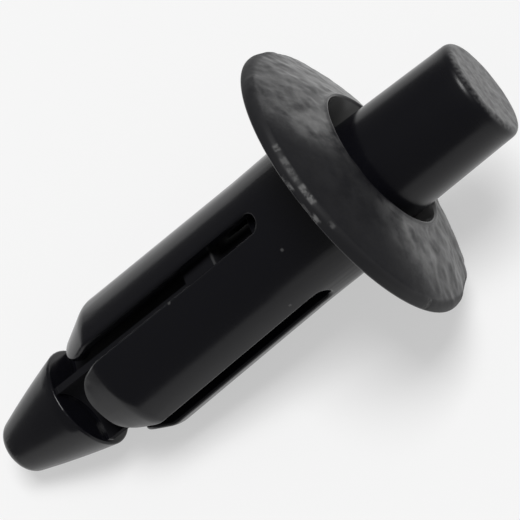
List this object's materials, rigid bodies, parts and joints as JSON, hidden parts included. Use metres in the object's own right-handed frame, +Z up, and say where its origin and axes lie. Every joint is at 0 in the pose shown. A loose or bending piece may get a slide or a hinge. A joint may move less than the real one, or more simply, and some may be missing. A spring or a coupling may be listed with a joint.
{
  "type": "push rivet",
  "caption": "Black plastic push rivet for an 8 mm hole: domed flange, slotted barrel with flaring legs and a raised centre pin that slides down to lock them.",
  "frame": {"origin": "on the surface the rivet lies on, halfway between its ends along X and on its plane of symmetry", "axes": "+X from the cone towards the button, +Z up; the rivet's axis lies in the XZ plane and rises towards the head"},
  "size_m": [0.0336, 0.0162, 0.0159],
  "materials": {
    "sleeve_plastic": "black moulded nylon, satin barrel, spark-eroded texture on the dome",
    "pin_plastic": "black moulded nylon, satin, textured button end"
  },
  "bodies": {
    "sleeve_body": {"sleeve": "sleeve_plastic"},
    "pin_body": {"push_pin": "pin_plastic"}
  },
  "joints": [
    {"name": "pin_slide", "type": "slide", "parent": "sleeve_body", "child": "pin_body", "axis": [-0.9722, 0.0206, -0.2332], "range_m": [0, 0.00635]}
  ]
}
